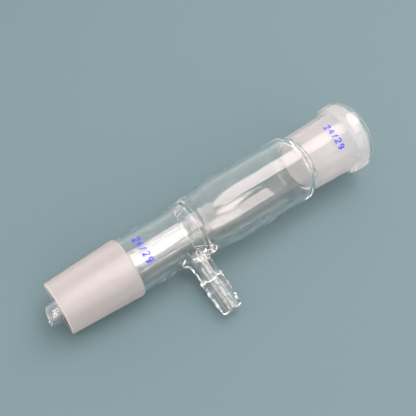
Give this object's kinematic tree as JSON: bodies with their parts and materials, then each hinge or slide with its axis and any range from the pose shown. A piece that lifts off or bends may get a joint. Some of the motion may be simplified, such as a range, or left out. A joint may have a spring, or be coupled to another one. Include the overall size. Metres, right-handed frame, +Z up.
{
  "type": "receiver adapter",
  "caption": "Straight glass receiver adapter with a ground socket, wide vapour tube, inner drip tube, ground cone and a barbed hose arm, lying at rest.",
  "frame": {"origin": "on the surface the part lies on, under the middle of its bounding box", "axes": "+Z up; +X along the part's length from the cone and drip tip to the socket, the tube axis rising 2.75 degrees towards +X; the hose arm points to -Y and slightly down, its tip on the surface"},
  "size_m": [0.1478, 0.05, 0.0329],
  "materials": {
    "glass": "clear, faintly green-grey blown borosilicate glass, fire-polished, with fine-ground matt white bands on the cone's outside and in the socket's bore",
    "print": "thin fired-on blue enamel numerals on the outside of the glass"
  },
  "bodies": {
    "root": {"adapter": "glass"}
  },
  "joints": []
}
